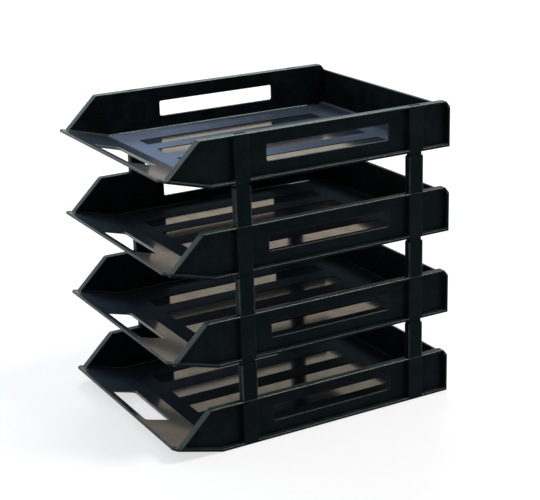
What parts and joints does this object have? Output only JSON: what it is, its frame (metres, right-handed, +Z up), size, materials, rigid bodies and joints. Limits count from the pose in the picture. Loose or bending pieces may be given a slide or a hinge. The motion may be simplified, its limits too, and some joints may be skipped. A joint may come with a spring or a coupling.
{
  "type": "tiered document tray",
  "caption": "Stack of open black letter trays with front ramps, finger slots and side windows, each standing on plug-in corner risers and lifting off the tray below.",
  "frame": {"origin": "on the standing surface, under the middle of the stack", "axes": "+Z up, +Y to the back wall, -Y to the front lips, +X to the right seen from the front"},
  "size_m": [0.26, 0.34, 0.332],
  "materials": {
    "tray_plastic": "black moulded plastic, satin to glossy, with smooth bands in the floor",
    "riser_plastic": "black moulded plastic, satin"
  },
  "bodies": {
    "tier_1": {"tray_1": "tray_plastic", "riser_1_front_left": "riser_plastic", "riser_1_rear_left": "riser_plastic", "riser_1_front_right": "riser_plastic", "riser_1_rear_right": "riser_plastic"},
    "tier_2": {"tray_2": "tray_plastic", "riser_2_front_left": "riser_plastic", "riser_2_rear_left": "riser_plastic", "riser_2_front_right": "riser_plastic", "riser_2_rear_right": "riser_plastic"},
    "tier_3": {"tray_3": "tray_plastic", "riser_3_front_left": "riser_plastic", "riser_3_rear_left": "riser_plastic", "riser_3_front_right": "riser_plastic", "riser_3_rear_right": "riser_plastic"},
    "tier_4": {"tray_4": "tray_plastic"}
  },
  "joints": [
    {"name": "tier_2_lift", "type": "slide", "parent": "tier_1", "child": "tier_2", "axis": [0, 0, 1], "range_m": [0, 0.04]},
    {"name": "tier_3_lift", "type": "slide", "parent": "tier_2", "child": "tier_3", "axis": [0, 0, 1], "range_m": [0, 0.04]},
    {"name": "tier_4_lift", "type": "slide", "parent": "tier_3", "child": "tier_4", "axis": [0, 0, 1], "range_m": [0, 0.04]}
  ]
}
